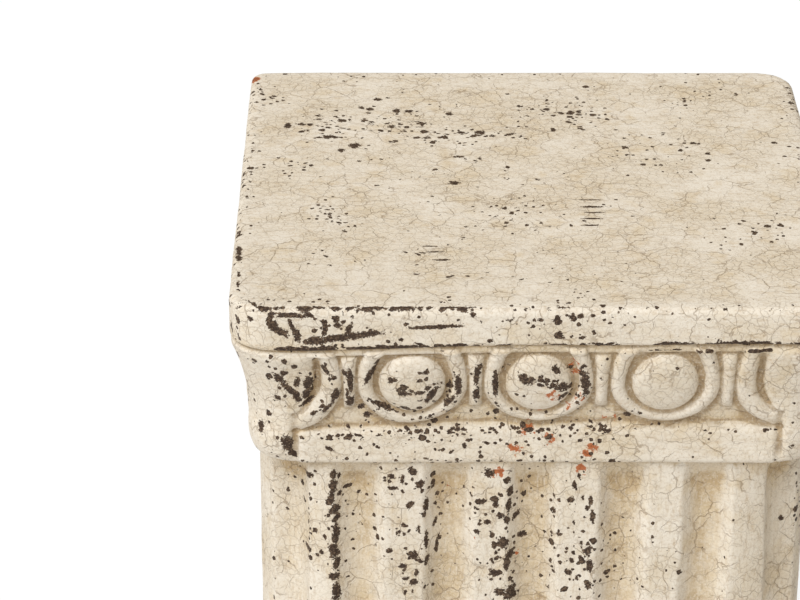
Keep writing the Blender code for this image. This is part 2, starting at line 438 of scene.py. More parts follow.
def bandPush(along, z, half):
    # How far the cap's ornament and lobes stand out of its plain profile
    depth = np.full(len(along), sheetTop - cap["slabHeight"] - z)
    fade = np.clip((depth - ornament["fadeFrom"]) / ornament["fadeOver"], 0, 1)
    onLobe = lobeShare(along, depth) * fade
    lobed = (sheetHalf - half) - lobeInset(depth)
    beside = lobeSide(depth) - np.abs(along) - lobe["seamOut"]
    seam = roundBar(beside, lobe["seamHalfWidth"]) * fade
    lift = ornamentHeight(along, depth) - lobe["seam"] * seam
    return lift * fade * (1 - onLobe) + onLobe * lobed


def shaftPush(along, side, z, half, radius):
    # The flutes, which run out below the neck
    quarter = 2 * (half - radius) + math.pi * radius / 2
    run = along + side * quarter
    run = (run + 2 * quarter) % (4 * quarter) - 2 * quarter
    below = np.clip((sheetTop - cap["slabHeight"] - capDepth - z) / shaft["runOut"], 0, 1)
    least = shaft["runOutShare"]
    share = least + (1 - least) * np.sin(below * math.pi / 2)
    return -share * fluteHollow(run, z, 4 * quarter / shaft["fluteCount"])


def sheetPlaces():
    # Every point of the carved sheet, row by row, all four sides in turn
    columns = sideColumns()
    rows = sheetRows()
    count = len(columns)
    sharperEnds = {2: 1, 3: -1}     # the sides that meet at the back left corner, and their ends
    places = np.zeros((len(rows), 4 * count, 3))
    for index, (half, radius, z, scale, kind) in enumerate(rows):
        sharper = cap["cornerRadius"] - cap["backLeftRadius"] if kind in ("top", "slab") else 0
        for side in range(4):
            sharpEnd = sharperEnds.get(side, 0)
            x, y, out, along = ringPoints(columns, half, radius, sharper, sharpEnd)
            out3 = np.column_stack([out, np.zeros(count)])
            push = np.zeros(count)
            if kind == "band":
                push = bandPush(along, z, half)
            if kind == "shaft":
                push = shaftPush(along, side, z, half, radius)
            points = np.column_stack([x, y, np.full(count, z)]) + out3 * push[:, None]
            points[:, :2] *= scale
            for _ in range(side):       # a quarter turn each
                points[:, :2] = np.column_stack([-points[:, 1], points[:, 0]])
            if kind in ("slab", "band"):
                points[:, 2] -= sagDown(points)
            places[index, side * count:(side + 1) * count] = points
    return places * mm


def selectNothing():
    if bpy.context.object and bpy.context.object.mode != "OBJECT":
        bpy.ops.object.mode_set(mode="OBJECT")
    bpy.ops.object.select_all(action="DESELECT")


def applyModifier(piece, kind, **settings):
    modifier = piece.modifiers.new(kind.lower(), kind)
    for name, value in settings.items():
        setattr(modifier, name, value)
    bpy.context.view_layer.objects.active = piece
    bpy.ops.object.modifier_apply(modifier=modifier.name)


def cloudTexture(name, size, detail):
    texture = bpy.data.textures.new(name, "CLOUDS")
    texture.noise_scale = size * mm
    texture.noise_depth = detail
    return texture


def neighbourMean(values, pairs, counts):
    total = np.zeros_like(values)
    for axis in range(values.shape[1]):
        total[:, axis] = np.bincount(pairs[:, 0], values[pairs[:, 1], axis], len(values))
        total[:, axis] += np.bincount(pairs[:, 1], values[pairs[:, 0], axis], len(values))
    return total / counts[:, None]


def meshPoints(mesh, what="co"):
    values = np.empty(len(mesh.vertices) * 3)
    mesh.vertices.foreach_get(what, values)
    return values.reshape(-1, 3)


def saveField(mesh, name, values, kind="FLOAT"):
    attribute = mesh.attributes.new(name, kind, "POINT")
    field = "vector" if kind == "FLOAT_VECTOR" else "value"
    attribute.data.foreach_set(field, values.astype(np.float32).ravel())


def reliefField(mesh, rounds, reach):
    # How far each point stands out of its smoothed surroundings, 1 at reach
    points, normals = meshPoints(mesh), meshPoints(mesh, "normal")
    pairs = np.empty(len(mesh.edges) * 2, dtype=np.int64)
    mesh.edges.foreach_get("vertices", pairs)
    pairs = pairs.reshape(-1, 2)
    counts = np.maximum(np.bincount(pairs.ravel(), minlength=len(points)), 1)
    mean = points
    for _ in range(rounds):
        mean = neighbourMean(mean, pairs, counts)
    return ((points - mean) * normals).sum(axis=1) / (reach * mm)


# Chips and scrapes: across, up, half length, half width, turn in degrees
capChips = [
    (-140.3, 750.0, 5.0, 2.6, -62), (-136.0, 746.4, 4.2, 2.6, -30), (-130.4, 750.0, 6.2, 1.3, 108),
    (-102.4, 743.4, 21.0, 2.3, 8), (-118.3, 741.1, 5.5, 2.6, 5), (-113.2, 748.2, 5.2, 1.7, 86),
    (-100.6, 747.6, 5.0, 1.6, 72), (-55.0, 749.4, 14.5, 1.3, 3), (9.8, 744.3, 2.6, 2.4, 0),
    (8.5, 753.9, 2.6, 1.9, 60), (-35.5, 756.3, 1.9, 1.4, 0), (20.7, 755.7, 1.8, 1.5, 0),
    (-129.8, 755.7, 10.0, 1.0, 0), (-108.4, 754.6, 1.7, 1.3, 0), (-103.5, 752.3, 1.6, 1.3, 0),
    (21.9, 743.0, 2.2, 1.1, 15), (-26.4, 741.3, 1.7, 1.3, 0), (-73.1, 741.8, 1.5, 1.2, 0),
    (0.0, 753.3, 1.5, 1.2, 0), (27.5, 756.0, 1.4, 1.1, 0), (17.6, 753.9, 1.5, 1.2, 0),
    (-70.5, 751.0, 1.5, 1.1, 30), (-142.0, 753.6, 3.6, 1.8, 75), (-127.9, 744.4, 4.0, 2.2, 100),
    (-141.0, 757.0, 3.0, 0.9, 0), (-132.0, 756.8, 6.5, 0.8, 0), (-122.0, 756.4, 3.4, 1.3, -15),
    (-113.4, 752.4, 2.2, 1.6, 0), (-107.2, 753.4, 2.1, 1.9, 0), (-106.6, 750.4, 2.4, 1.6, 0),
    (-138.1, 716.5, 4.4, 2.4, -50), (-132.7, 709.2, 6.4, 2.1, -47), (-128.4, 714.2, 3.8, 1.8, 85),
    (-122.4, 713.6, 4.0, 2.8, 80), (-123.2, 706.2, 4.2, 2.2, 62), (-128.7, 703.7, 3.9, 2.1, 100),
    (-123.3, 700.5, 4.8, 1.5, 40), (-139.0, 703.2, 2.0, 1.6, -30), (-129.3, 724.9, 1.8, 1.6, 0),
    (-113.2, 723.0, 4.2, 1.8, -60), (-108.7, 717.4, 2.1, 1.5, 60), (-108.0, 706.6, 4.6, 2.4, 78),
    (-112.4, 698.0, 5.5, 1.3, 47), (-100.0, 716.0, 8.5, 1.7, 92), (-99.8, 701.7, 4.5, 1.9, 88),
    (-89.0, 720.5, 8.2, 1.7, 62), (-84.0, 699.7, 10.0, 1.5, -32), (-42.9, 713.1, 7.6, 2.0, 92),
    (-47.6, 702.2, 4.5, 1.5, 52), (-78.0, 717.2, 2.9, 2.0, 20), (-72.1, 708.8, 2.7, 1.8, 0),
    (-63.1, 709.2, 3.1, 1.4, 8), (-56.8, 707.8, 7.4, 2.1, 62), (-60.0, 722.5, 2.0, 1.7, 0),
    (-63.7, 717.2, 1.8, 1.2, 0), (-33.2, 719.0, 6.8, 1.6, 90), (-33.0, 707.6, 4.2, 1.7, 95),
    (-7.7, 717.7, 4.8, 2.7, -48), (1.0, 717.2, 2.0, 1.4, 0), (8.4, 723.7, 3.2, 1.9, -45),
    (7.4, 714.1, 2.1, 1.9, 0), (12.2, 712.2, 4.2, 2.7, -20), (13.2, 706.1, 3.6, 1.6, 40),
    (-23.1, 714.4, 7.8, 1.8, 94), (24.7, 713.2, 9.0, 2.4, 92), (-134.4, 675.0, 5.4, 3.4, 100),
    (-131.1, 668.1, 3.4, 1.7, -55), (-101.6, 678.4, 2.7, 1.7, 20), (-94.5, 696.7, 2.1, 1.9, 0),
    (-91.3, 691.3, 2.3, 1.9, 0), (-111.9, 671.2, 3.0, 1.2, -30), (6.3, 678.0, 2.6, 1.4, 30),
    (-148.5, 682.0, 3.6, 1.6, 85), (-64.0, 681.6, 2.4, 1.5, -6), (-4.5, 682.4, 3.0, 1.3, 2),
]
shaftChips = [
    (-109.8, 652.9, 2.8, 2.2, 80), (-109.9, 646.0, 4.2, 2.4, 95), (-111.0, 638.6, 4.5, 2.0, 88),
    (-109.2, 631.4, 3.6, 3.0, 60), (-106.8, 651.0, 2.0, 1.1, 70), (-108.2, 625.6, 3.0, 1.8, 60),
    (-108.8, 615.8, 7.0, 2.1, 88), (-110.0, 605.0, 5.2, 2.9, 98), (-108.4, 597.2, 3.8, 2.0, 70),
    (-109.9, 589.0, 3.0, 2.4, 20), (-108.8, 579.0, 6.4, 2.6, 92),
    (-59.6, 634.2, 4.5, 1.5, 88), (-59.3, 612.4, 5.5, 1.4, 92), (-58.9, 600.0, 3.0, 1.4, 70),
    (-14.2, 643.0, 3.0, 1.8, 70), (-14.6, 634.6, 4.6, 1.7, 88), (-15.8, 625.6, 3.6, 2.0, 110),
    (-17.2, 610.8, 3.6, 3.2, 20), (-14.0, 602.6, 3.8, 2.2, 60), (-15.4, 596.2, 3.0, 2.0, 90),
    (-21.4, 592.2, 3.8, 2.2, -20), (-13.0, 580.0, 4.0, 2.6, 70), (-17.8, 579.4, 3.4, 2.6, 0),
    (29.8, 637.3, 3.2, 1.5, 90), (31.1, 627.5, 4.6, 1.4, 92), (28.8, 606.0, 3.8, 2.4, 80),
    (30.4, 596.0, 4.4, 1.8, 88), (29.6, 584.0, 3.4, 2.2, 100), (-66.7, 656.0, 3.0, 2.4, -35),
    (-62.9, 647.6, 3.0, 2.3, 60),
    (-78.0, 652.3, 2.0, 1.8, 0), (-25.6, 654.7, 3.3, 2.6, -10), (-15.8, 649.8, 2.4, 2.0, 30),
    (-66.6, 603.7, 3.4, 2.6, 0), (-72.1, 596.3, 2.3, 1.6, 0), (-66.0, 586.1, 2.5, 1.8, 10),
    (-19.0, 610.3, 2.7, 2.2, 20), (-10.4, 626.3, 3.0, 1.7, 60), (-6.9, 613.1, 2.8, 1.9, 0),
    (-21.5, 591.2, 3.6, 1.6, 0), (-18.6, 579.6, 3.0, 2.6, 0), (-12.0, 576.5, 2.8, 2.6, 0),
    (-123.0, 650.4, 2.6, 1.8, 20), (-124.1, 603.3, 2.2, 1.7, 0), (-102.0, 643.2, 2.6, 1.5, 10),
    (-26.3, 624.2, 2.1, 1.8, 0), (-28.8, 637.0, 2.3, 1.5, 40), (18.6, 591.9, 2.2, 1.9, 0),
    (19.2, 638.0, 2.0, 1.8, 0), (-54.6, 621.8, 3.2, 1.2, 70), (-53.6, 606.0, 4.5, 1.0, 84),
    (-79.6, 606.0, 2.2, 1.6, 0), (-68.5, 634.8, 2.6, 1.8, 60),
]
topChips = [
    (-100.4, 50.4, 3.2, 4.0, 0), (-139.7, 79.1, 2.4, 4.2, 0), (-114.1, 62.8, 5.3, 1.9, -12),
    (-91.6, 104.1, 2.7, 2.4, 0), (-75.5, 101.8, 2.4, 3.0, 0), (-68.3, 101.0, 2.4, 2.4, 0),
    (-86.9, 119.5, 2.7, 2.1, 0), (-97.0, 106.4, 1.8, 3.2, 0), (-77.2, 56.2, 2.6, 2.1, 0),
    (-107.9, 43.2, 2.3, 2.6, 0), (-59.6, 70.2, 2.9, 2.7, 0), (-58.5, 60.6, 2.9, 1.5, 0),
    (-61.3, 82.1, 3.5, 2.2, 0), (-26.8, 68.7, 3.2, 3.1, 0), (-39.7, 33.8, 3.5, 1.8, 0),
    (-37.9, 68.7, 2.3, 1.9, 0), (-9.3, 65.8, 1.9, 1.9, 0), (-2.0, 109.4, 1.9, 2.3, 0),
    (13.3, 117.9, 2.2, 2.0, 0), (13.9, 104.1, 2.2, 2.0, 0), (27.4, 98.0, 2.4, 2.5, 0),
    (16.2, 73.2, 1.7, 3.0, 0), (38.9, 139.0, 2.1, 2.2, 0), (-44.6, 97.2, 2.1, 2.7, 0),
    (-47.4, 61.4, 2.1, 2.2, 30), (-43.1, -2.8, 3.4, 2.6, 0), (-108.0, 86.6, 3.0, 2.6, 0),
    (-78.4, 77.7, 2.4, 2.2, 0), (32.8, -26.0, 6.2, 0.9, 0), (33.5, -35.5, 6.7, 1.3, 0),
    (33.6, -43.5, 6.1, 0.9, 0), (32.7, -51.5, 5.5, 1.0, 0), (31.1, -60.3, 5.0, 1.1, 4),
    (-57.4, -86.7, 4.4, 0.9, 0), (-54.7, -94.0, 4.9, 0.9, 0), (-50.5, -104.0, 4.8, 1.2, 0),
]
# Small ones strewn along a line: from across and up, to across and up, how many, how far
# off the line, size, how much longer along the line
strewnOnFront = [
    (-150, 759.6, -128, 759.8, 10, 0.3, 1.4, 2.6), (-128, 759.8, -42, 759.8, 36, 0.25, 1.25, 3.2),
    (-42, 759.8, 60, 759.9, 12, 0.3, 0.7, 4.0), (-164.2, 757.0, -163.6, 748.0, 6, 0.6, 0.9, 1.5),
    (-162.0, 742.0, -154.0, 736.0, 8, 1.6, 1.0, 1.3), (-139, 737.0, -82, 737.3, 20, 0.5, 1.0, 2.6),
    (-82, 738.0, 150, 739.4, 34, 0.5, 0.75, 4.5), (-128, 678.0, -92, 678.6, 10, 2.4, 0.7, 1.5),
    (-110, 678.0, -80, 680.0, 16, 3.4, 0.85, 1.3), (-80, 681.2, -55, 682.2, 16, 2.4, 0.8, 1.3),
    (-55, 682.2, -14, 682.4, 28, 2.6, 0.85, 1.3), (-14, 682.2, 38, 683.0, 34, 3.0, 0.85, 1.3),
    (38, 683.0, 130, 682.0, 28, 3.0, 0.85, 1.3), (-92, 676.0, 34, 676.0, 16, 5.0, 0.8, 1.2),
    (-122, 664.5, 40, 664.0, 14, 1.0, 0.7, 1.8), (-121, 748.0, 34, 749.0, 22, 8.0, 0.65, 1.1),
    (-139, 720.5, -129, 704.5, 6, 2.4, 0.9, 1.3), (-124, 719.0, -122, 703.0, 5, 2.2, 0.9, 1.3),
    (-113, 727.0, -108, 709.0, 9, 1.6, 1.0, 1.3), (-114, 699.0, -124, 692.0, 6, 1.8, 0.9, 1.4),
    (-103, 724.0, -100.5, 699.0, 12, 1.3, 1.1, 1.4), (-85, 729.0, -93, 711.0, 8, 1.2, 1.0, 1.5),
    (-82, 702.0, -66, 696.0, 8, 0.8, 0.9, 2.0), (-76, 712.0, -56, 709.0, 10, 3.0, 1.0, 1.3),
    (-45, 722.0, -50, 700.0, 12, 1.6, 1.1, 1.4), (-32, 726.0, -32, 704.0, 9, 1.4, 1.0, 1.5),
    (-23, 724.0, -24, 706.0, 9, 1.2, 1.0, 1.5), (-9, 719.0, 12, 711.0, 16, 4.0, 1.1, 1.3),
    (24, 727.0, 22, 704.0, 12, 1.6, 1.1, 1.5), (-137, 680.0, -133, 668.0, 9, 1.8, 1.2, 1.5),
    (-109, 655.0, -118, 585.0, 18, 8.0, 1.2, 1.3), (-72, 655.0, -66, 580.0, 18, 8.0, 1.2, 1.2),
    (-20, 655.0, -19, 575.0, 24, 7.0, 1.3, 1.2), (22, 655.0, 25, 575.0, 22, 7.0, 1.2, 1.2),
    (-53, 644.0, -52, 585.0, 8, 1.6, 0.9, 1.4),
]
strewnOnTop = [
    (-140, 20, 60, 10, 60, 110.0, 0.65, 1.2), (-150, 100, 60, 100, 45, 70.0, 0.8, 1.2),
    (-130, -90, 60, -90, 45, 90.0, 0.55, 1.4),
    (-160, 140, -150, 112, 14, 7.0, 1.1, 1.0), (-134, 82, -104, 84, 26, 12.0, 1.2, 1.2),
    (-128, 60, -112, 62, 10, 5.0, 1.04, 1.6), (-96, 90, -62, 76, 24, 14.0, 1.2, 1.3),
    (-54, 62, -30, 66, 18, 10.0, 1.28, 1.2), (-30, 66, 12, 60, 10, 10.0, 0.96, 1.2),
    (-120, -32, -98, -68, 34, 9.0, 0.88, 1.4), (-122, -82, -96, -112, 9, 9.0, 0.9, 1.6),
    (-20, -50, 4, -28, 20, 9.0, 1.0, 1.3), (-78, -84, -56, -100, 9, 5.0, 0.7, 2.0),
    (8, -158, 30, -138, 12, 4.0, 0.8, 1.2), (-140, 8, -126, 34, 14, 9.0, 1.0, 1.2),
    (-34, 34, 8, -4, 16, 10.0, 1.0, 1.3), (-2, 106, 42, 84, 26, 14.0, 1.2, 1.3),
    (-66, -120, 6, -128, 12, 8.0, 0.7, 1.6), (-76, 2, -44, 14, 9, 8.0, 0.9, 1.3),
    (-162.3, -66, -161.9, -74, 5, 0.6, 1.5, 1.2), (-161.4, -86, -160.2, -112, 14, 0.9, 1.15, 1.6),
    (-160.2, -118, -159.6, -124, 5, 0.7, 1.5, 1.2), (-160.0, -130, -159.2, -148, 9, 0.9, 1.2, 1.6),
    (-158.0, -150, -146.0, -161.5, 12, 1.0, 0.96, 1.8), (-160, -40, -160, 100, 12, 1.6, 0.8, 1.8),
]
# Where pits gather, and where rust has come through: x, y, z, radius, strength
pitted = [
    (-115, 79, 760, 32, 0.6), (-74, 79, 760, 36, 0.7), (-44, 64, 760, 28, 0.7),
    (-3, 72, 760, 30, 0.45), (28, 102, 760, 36, 0.6), (-156, 118, 760, 16, 0.8),
    (-113, -43, 760, 28, 0.45), (-7, -47, 760, 34, 0.45), (26, -47, 760, 22, 0.35),
    (-101, -67, 760, 16, 0.35), (75, 40, 760, 45, 0.5), (120, -70, 760, 42, 0.45),
    (100, 120, 760, 40, 0.4), (-118, -152, 618, 46, 0.55), (-68, -152, 640, 36, 0.6),
    (-68, -152, 596, 28, 0.5), (-22, -152, 640, 36, 0.65), (-16, -152, 590, 36, 0.65),
    (24, -152, 600, 48, 0.65), (-60, -157, 680, 34, 0.7), (-15, -157, 681, 32, 0.8),
    (30, -157, 680, 28, 0.75), (-98, -157, 678, 26, 0.65), (-66, -160, 712, 18, 0.45),
    (12, -160, 712, 20, 0.55), (-120, -166, 748, 26, 0.4), (12, -165, 752, 24, 0.3),
    (-130, -160, 710, 22, 0.4), (150, -80, 620, 60, 0.5), (140, 60, 560, 70, 0.5),
    (160, 30, 712, 45, 0.45), (-160, 40, 715, 50, 0.45), (30, 160, 712, 50, 0.45),
    (157, -40, 681, 30, 0.6), (-157, -70, 681, 32, 0.6), (-60, 157, 681, 40, 0.55),
    (165, 40, 750, 40, 0.35), (-165, 40, 750, 50, 0.35), (60, -165, 30, 60, 0.4),
    (-150, 20, 600, 70, 0.45), (0, 155, 600, 80, 0.5), (60, -152, 400, 80, 0.45),
    (-70, -152, 330, 80, 0.45), (150, 90, 300, 80, 0.4), (-150, -60, 250, 80, 0.4),
]
rusty = [
    (-6, -157, 683, 10, 0.95), (6, -157, 677, 7, 1.0), (9, -157, 686, 6, 1.0),
    (14, -159, 699, 7, 1.0),
    (-12, -156, 670, 9, 0.9), (28, -156, 670, 9, 0.9), (21, -160, 705, 7, 0.9),
    (8, -160, 707, 8, 0.9), (26, -152, 657, 8, 0.85), (-20, -152, 654, 8, 0.85),
    (19, -160, 724, 9, 0.8), (2, -158, 694, 6, 0.8), (-47, -147, 643, 5, 0.9),
    (-33, -150, 616, 5, 0.8), (-9, -146, 603, 5, 0.8), (40, -157, 690, 12, 0.7),
    (-163, 152, 759, 8, 1.2), (165, 60, 690, 16, 0.9), (150, 40, 640, 14, 0.9),
    (-70, 158, 690, 14, 0.8), (90, -160, 60, 14, 0.8), (-165, -90, 40, 12, 0.7),
]
wearing = {
    "frontZone": 1.9,
    "topZone": 4.2,
    "zoneGap": 2.0,
    "rimFrom": 753,
    "seed": 7,
    "paleLobe": 134,
    "farAway": 5.0,
    "frontDepth": -138,
    "keepFrom": (-152, 40, 570, 764),
    "keptWeight": 0.6,
    "topWeight": 0.98,
    "topKeptTo": 60,
    "lipFrom": 755,
    "lipDepth": -161.5,
    "strewnSizes": (0.4, 0.5, 0.6, 0.7, 0.9, 1.1, 1.5),
    "strewnTurn": 25,
    "strewnNarrow": 0.7,
    "crestRounds": 40,
    "crestReach": 2.0,
    "edgeRounds": 5,
    "edgeReach": 0.35,
    "palerLobe": 0.8,
    "palerFrom": 664,
    "palerTo": 733,
    "pitsOnCrests": 0.35,
    "slabFoot": (-139, -155, 734.5, 741),    # right of, in front of, above and below
}
# By height: how readily an edge loses its paint; how much painted shading there is, dark as
# painted shade in the recess under the slab and along the crease, lighter as painted light just
# under the neck where its shadow falls; and the share of the dirt and painted shade that stays in
# the creases
edgeByHeight = [
    (0, 0.24), (90, 0.24), (110, 0.15), (655, 0.15), (662, 0.1), (664, 0.15), (690, 0.2),
    (695, 0.3), (725, 0.3), (728, 0.0), (735, 0.0), (737, 0.3), (746, 0.25), (754, 0.25),
    (756, 0.2), (760, 0.2),
]
# Painted shading: positive values paint shade into the recess under the slab and into the crease,
# negative ones paint light just under the neck where its shadow falls
paintedShadingByHeight = [
    (650, 0), (653, -0.5), (660, -0.5), (662, 0), (684, 0), (686, 0.15), (688.5, 0.15),
    (691, 0), (732.5, 0), (734, 0.5), (737.5, 0.5), (739, 0),
]
# Dirt and painted shade in the creases, kept faint just under the neck where its own shadow falls
dirtAndShadeByHeight = [(640, 1), (652, 0.3), (664, 0.3), (668, 1)]


def strewn(rows, seed):
    # Small chips of mixed size and turn, strewn along each row's line
    dice = random.Random(seed)
    chips = []
    for acrossFrom, upFrom, acrossTo, upTo, count, off, size, longer in rows:
        along = math.degrees(math.atan2(upTo - upFrom, acrossTo - acrossFrom))
        for _ in range(count):
            share, aside = dice.random(), dice.gauss(0, off / 2)
            lean = math.radians(along)
            across = acrossFrom + (acrossTo - acrossFrom) * share - aside * math.sin(lean)
            up = upFrom + (upTo - upFrom) * share + aside * math.cos(lean)
            half = size * dice.choice(wearing["strewnSizes"])
            turn = along + dice.uniform(-wearing["strewnTurn"], wearing["strewnTurn"])
            narrow = half * dice.uniform(wearing["strewnNarrow"], 1.0)
            chips.append((across, up, half * longer, narrow, turn))
    return chips


def zoneReach(chip):
    # How far from its middle a chip's own coordinates are kept
    return max(chip[2:4]) + (wearing["topZone"] if chip[5] else wearing["frontZone"])


def chipsApart(chip, other):
    # Whether the zones of two chips keep clear of each other. The last value of a chip tells
    # that it lies on the top, where its second one runs back and not up.
    needed = zoneReach(chip) + zoneReach(other) + wearing["zoneGap"]
    if chip[5] == other[5]:
        return math.hypot(chip[0] - other[0], chip[1] - other[1]) > needed
    top, front = (chip, other) if chip[5] else (other, chip)
    atRim = front[1] + zoneReach(front) > wearing["rimFrom"]
    atFront = top[1] - zoneReach(top) < wearing["frontDepth"] + wearing["zoneGap"]
    return not (atRim and atFront) or abs(chip[0] - other[0]) > needed


def chipLayers(chips):
    # Chips that share a layer lie well apart
    layers = []
    for chip in sorted(chips, key=lambda chip: -max(chip[2:4])):
        for placed in layers:
            if all(chipsApart(chip, other) for other in placed):
                placed.append(chip)
                break
        else:
            layers.append([chip])
    return layers


def chipField(points, layer):
    # For points near a chip, where they lie in its ellipse (rim at 1), and a third value that
    # grows away from the chip's own face
    x, y, z = (points / mm).T
    field = np.zeros((len(points), 3))
    field[:, 2] = wearing["farAway"]
    for chip in layer:
        acrossAt, upAt, length, width, turn, onTop = chip
        up = y if onTop else z
        facing = z > wearing["lipFrom"] if onTop else y < wearing["frontDepth"]
        near = np.flatnonzero(facing & (np.hypot(x - acrossAt, up - upAt) < zoneReach(chip)))
        c, t = math.cos(math.radians(turn)), math.sin(math.radians(turn))
        across, up = x[near] - acrossAt, up[near] - upAt
        field[near, 0] = (across * c + up * t) / length
        field[near, 1] = (up * c - across * t) / width
        field[near, 2] = 0
        if not onTop and upAt > wearing["lipFrom"]:
            field[near, 2] = np.clip(y[near] - wearing["lipDepth"], 0, None)
    return field


def blobField(points, blobs):
    field = np.zeros(len(points))
    for x, y, z, radius, strength in blobs:
        away = np.linalg.norm(points / mm - (x, y, z), axis=1) / radius
        field = np.maximum(field, strength * np.clip(1 - away ** 2, 0, 1))
    return field


def byHeight(pairs, z):
    heights, amounts = zip(*pairs)
    return np.interp(z, heights, amounts)


def edgeFactor(points):
    # Most paint is lost along the slab's foot, and elsewhere as the height tells
    x, y, z = (points / mm).T
    right, front, low, high = wearing["slabFoot"]
    foot = (x > right) & (y < front) & (z > low) & (z < high)
    return np.where(foot, 1.0, byHeight(edgeByHeight, z))


def rollSheet(places):
    # A grid laid on the places and closed into one skin
    rowCount, columnCount, _ = places.shape
    selectNothing()
    bpy.ops.mesh.primitive_grid_add(x_subdivisions=columnCount, y_subdivisions=rowCount - 1,
                                    size=1)
    piece = bpy.context.object
    piece.name = "pedestal"
    mesh = piece.data
    # A grid's points run along x first. Its last column closes the ring on the first.
    rolled = np.concatenate([places, places[:, :1]], axis=1)
    mesh.vertices.foreach_set("co", rolled.reshape(-1).astype(np.float32))
    mesh.update()
    bpy.ops.object.mode_set(mode="EDIT")
    bpy.ops.mesh.select_all(action="SELECT")
    bpy.ops.mesh.remove_doubles(threshold=sheet["doubles"] * mm)
    bpy.ops.mesh.normals_make_consistent(inside=False)
    bpy.ops.object.mode_set(mode="OBJECT")
    print("sheet rolled up:", len(mesh.vertices), "points")
    return piece


def keepInBox(mesh):
    points = np.clip(meshPoints(mesh), cadBox[0], cadBox[1])
    mesh.vertices.foreach_set("co", points.ravel())
    mesh.update()
    return points


def saveWear(mesh, points):
    z = points[:, 2] / mm
    crest = reliefField(mesh, wearing["crestRounds"], wearing["crestReach"])
    onLobe = (np.abs(points[:, :2]) > wearing["paleLobe"] * mm).all(axis=1)
    onLobe &= (z > wearing["palerFrom"]) & (z < wearing["palerTo"])
    crest += wearing["palerLobe"] * onLobe
    relief = reliefField(mesh, wearing["edgeRounds"], wearing["edgeReach"])
    saveField(mesh, "edge", relief * edgeFactor(points))
    # The narrow creases get dirt and painted shade
    saveField(mesh, "groove", np.clip(-relief, 0, 2) * byHeight(dirtAndShadeByHeight, z))
    saveField(mesh, "crest", crest)
    onCrests = wearing["pitsOnCrests"] * np.clip(crest, 0, 1)
    saveField(mesh, "pits", blobField(points, pitted) + onCrests)
    saveField(mesh, "rust", blobField(points, rusty))
    # Painted shade under the slab and in the crease, painted light just under the neck
    saveField(mesh, "paintedShading", byHeight(paintedShadingByHeight, z))


def thinOut(piece, points):
    # Fewer faces, taken mostly from the sides that the photograph doesn't show
    mesh = piece.data
    triangles = sum(len(face.vertices) - 2 for face in mesh.polygons)
    left, right, low, high = wearing["keepFrom"]
    x, y, z = (points / mm).T
    kept = (y < wearing["frontDepth"]) & (x > left) & (x < right) & (z > low) & (z < high)
    onTop = (z > wearing["lipFrom"]) & ~kept & (x < wearing["topKeptTo"])
    thinned = piece.vertex_groups.new(name="thinned")
    for chosen, weight in ((~kept & ~onTop, 1.0), (kept, wearing["keptWeight"]),
                           (onTop, wearing["topWeight"])):
        thinned.add(np.flatnonzero(chosen).tolist(), weight, "REPLACE")
    applyModifier(piece, "DECIMATE", ratio=sheet["triangles"] / triangles,
                  vertex_group="thinned", vertex_group_factor=0.0001)
    piece.vertex_groups.clear()


def layOutChips(mesh, points):
    onFront = capChips + shaftChips + strewn(strewnOnFront, wearing["seed"])
    onTop = topChips + strewn(strewnOnTop, wearing["seed"] + 1)
    layers = chipLayers([(*chip, False) for chip in onFront] + [(*chip, True) for chip in onTop])
    for index, layer in enumerate(layers):
        saveField(mesh, f"chips{index}", chipField(points, layer), "FLOAT_VECTOR")
    print("chips laid out in", len(layers), "layers")
    return len(layers)


def makePedestal():
    piece = rollSheet(sheetPlaces())
    applyModifier(piece, "SMOOTH", factor=0.5, iterations=1)
    for name, size, strength in (("waviness", sheet["wavinessSize"], sheet["waviness"]),
                                 ("dimples", sheet["dimpleSize"], sheet["dimples"])):
        applyModifier(piece, "DISPLACE", texture=cloudTexture(name, size, 1),
                      strength=strength * mm, mid_level=0.5)
    points = keepInBox(piece.data)
    saveWear(piece.data, points)
    thinOut(piece, points)
    points = keepInBox(piece.data)
    layerCount = layOutChips(piece.data, points)
    piece.data.shade_smooth()
    print("pedestal carved:", len(piece.data.polygons), "faces")
    return piece, layerCount


pedestal, chipLayerCount = makePedestal()
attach(pedestal, "root")
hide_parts("column_pedestal")

paint = {
    "cream": (0.62, 0.532, 0.403),
    "paleCream": (0.70, 0.63, 0.523),
    "yellowed": (0.60, 0.49, 0.335),
    # hollow, and tan where the hollows are deepest: a real wash there, deepened as painted shade
    "hollow": (0.57, 0.43, 0.24),
    "tan": (0.39, 0.265, 0.135),
    "crack": (0.21, 0.137, 0.075),
    # dirt: dirt and painted shade in the narrow creases
    "dirtAndShade": (0.23, 0.155, 0.085),
    "ground": (0.035, 0.018, 0.009),
    "groundDust": (0.15, 0.097, 0.056),
    "rust": (0.38, 0.10, 0.022),
    "rustRim": (0.20, 0.06, 0.02),
}
paintNoise = {          # size of the lumps in millimetres, detail, roughness, shift
    "blotch": (34, 3.0, 0.6, 1.0),
    "yellow": (16, 2.0, 0.6, 2.5),
    "fine": (5, 3.0, 0.65, 2.0),
    "grain": (1.3, 2.0, 0.7, 14.0),
    "gritty": (2.4, 2.0, 0.7, 15.0),
    "lumps": (24, 2.0, 0.5, 12.0),
    "ragged": (4.5, 3.0, 0.7, 11.0),
}
paintShares = {         # how strongly each layer covers the ones below it
    "yellowed": 0.7,
    "rubbed": 0.6,
    # hollow and deepest: the wash in the hollows, partly real and partly painted shade
    "hollow": 0.85,
    "deepest": 0.5,
    "fineTan": 0.26,
    # dirt: dirt and painted shade in the narrow creases
    "dirtAndShade": 0.58,
    "brushedTan": 0.3,
    "brushedPale": 0.4,
    "grainTan": 0.42,
    "grainPale": 0.5,
    "crack": 0.55,
    "rust": 0.95,
    "rustRim": 0.8,
}
